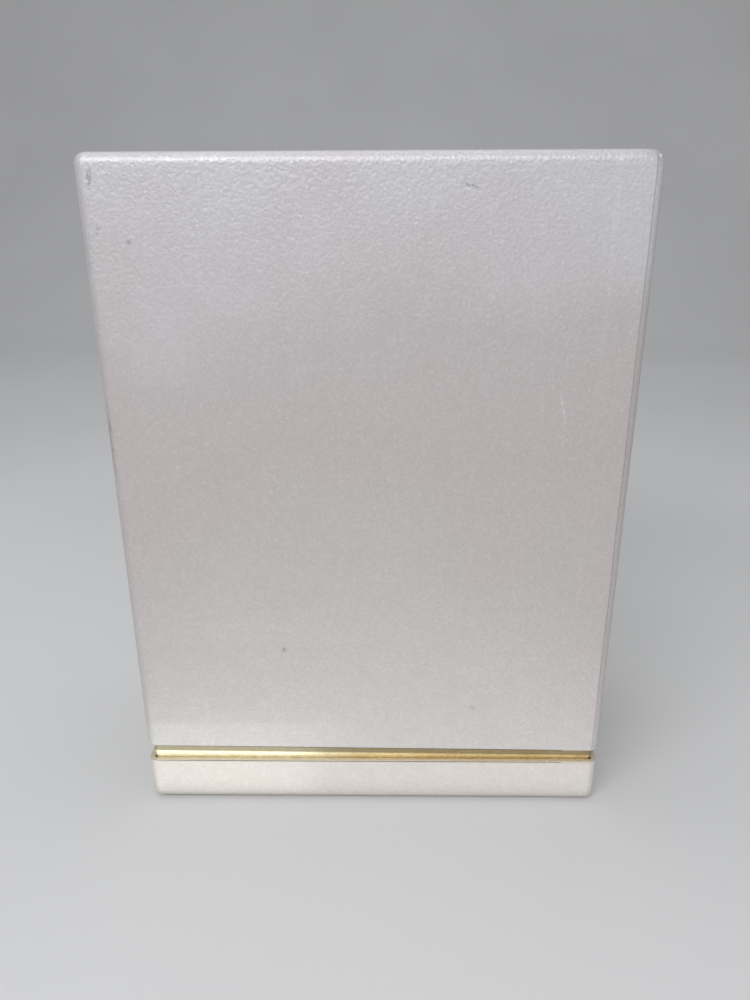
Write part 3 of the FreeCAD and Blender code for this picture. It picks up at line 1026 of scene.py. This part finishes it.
def studio():
    """Pale paper sweep: a level floor that curves up behind."""
    rows = [(y, 0.0) for y in (FLOOR_FRONT, -0.6, -0.2, 0.2, SWEEP_START)]
    for k in range(1, 13):
        a = radians(7.5 * k)
        rows.append((SWEEP_START + SWEEP_RADIUS * sin(a), SWEEP_RADIUS * (1 - cos(a))))
    rows.append((SWEEP_START + SWEEP_RADIUS, SWEEP_TOP))
    verts, faces = [], []
    for y, z in rows:
        verts += [(-SWEEP_HALF_WIDTH, y, z), (SWEEP_HALF_WIDTH, y, z)]
    for k in range(len(rows) - 1):
        faces.append((2 * k, 2 * k + 1, 2 * k + 3, 2 * k + 2))
    mesh = bpy.data.meshes.new("studio_sweep")
    mesh.from_pydata(verts, [], faces)
    mesh.shade_smooth()
    obj = bpy.data.objects.new("studio_sweep", mesh)
    bpy.context.collection.objects.link(obj)
    mesh.materials.append(studio_paper("studio_paper", (0.70, 0.70, 0.70), (0.74, 0.74, 0.74)))


def area_light(name, place, target, size, power, colour, height=None):
    """Rectangular lamp at a place, turned to a target. Sizes in metres, power in watts."""
    data = bpy.data.lights.new(name, "AREA")
    data.shape = "RECTANGLE"
    data.size = size
    data.size_y = height or size
    data.energy = power
    data.color = colour
    obj = bpy.data.objects.new(name, data)
    bpy.context.collection.objects.link(obj)
    obj.location = place
    way = Vector(target) - Vector(place)
    obj.rotation_euler = way.to_track_quat("-Z", "Y").to_euler()
    return obj


COOL = (0.97, 0.98, 1.0)
NEUTRAL = (0.97, 0.99, 1.0)
WARM = (1.0, 0.98, 0.96)
FLOOR_WARM = (1.0, 0.985, 0.96)
GLOW_DEPTH = 0.04                           # lit strip of floor before the box, front to back
GLOW_Y = -0.043
GLOW_Z = 0.0004


def lights():
    """Wide soft key from the front left, fill, overhead, and light off the floor's front."""
    area_light("key", (-0.14, -0.36, 0.38), (0, 0, 0.095), 0.50, 1.45, COOL, height=0.18)
    area_light("fill", (0.50, -0.40, 0.30), (0, 0, 0.05), 0.50, 0.35, WARM)
    area_light("overhead", (-0.05, 0.10, 0.62), (0, 0, 0.1), 0.50, 0.80, NEUTRAL)
    for name, middle, width, power in (
        ("floor_glow", 0.0, 0.110, 0.0080), ("floor_glow_left", -0.033, 0.044, 0.0022)
    ):
        glow = area_light(name, (middle, GLOW_Y, GLOW_Z), (middle, GLOW_Y, 0.1), width, power,
                          FLOOR_WARM, height=GLOW_DEPTH)
        glow.visible_camera = False
    world = bpy.data.worlds.new("studio_world")
    bpy.context.scene.world = world
    world.use_nodes = True
    back = world.node_tree.nodes["Background"]
    back.inputs["Color"].default_value = (*COOL, 1)
    back.inputs["Strength"].default_value = 0.34


def camera():
    """A wide lens held close before the lid's upper part and tipped down at the base."""
    data = bpy.data.cameras.new("camera")
    data.sensor_fit = "VERTICAL"
    data.sensor_height = 36.0
    data.lens = 27.49
    data.clip_start = 0.005
    obj = bpy.data.objects.new("camera", data)
    bpy.context.collection.objects.link(obj)
    obj.location = (2.19 * MM, -129.31 * MM, 96.72 * MM)
    pitch, yaw, roll = radians(20.309), radians(-0.804), radians(-0.245)
    ahead = Vector((sin(yaw) * cos(pitch), cos(yaw) * cos(pitch), -sin(pitch)))
    side = Vector((cos(yaw), -sin(yaw), 0))
    up = side.cross(ahead)
    right = side * cos(roll) + up * sin(roll)
    above = up * cos(roll) - side * sin(roll)
    turn = [[right[k], above[k], -ahead[k]] for k in range(3)]
    obj.rotation_euler = Matrix(turn).to_euler()
    bpy.context.scene.camera = obj


studio()
lights()
camera()
bpy.context.scene.view_settings.view_transform = "Standard"
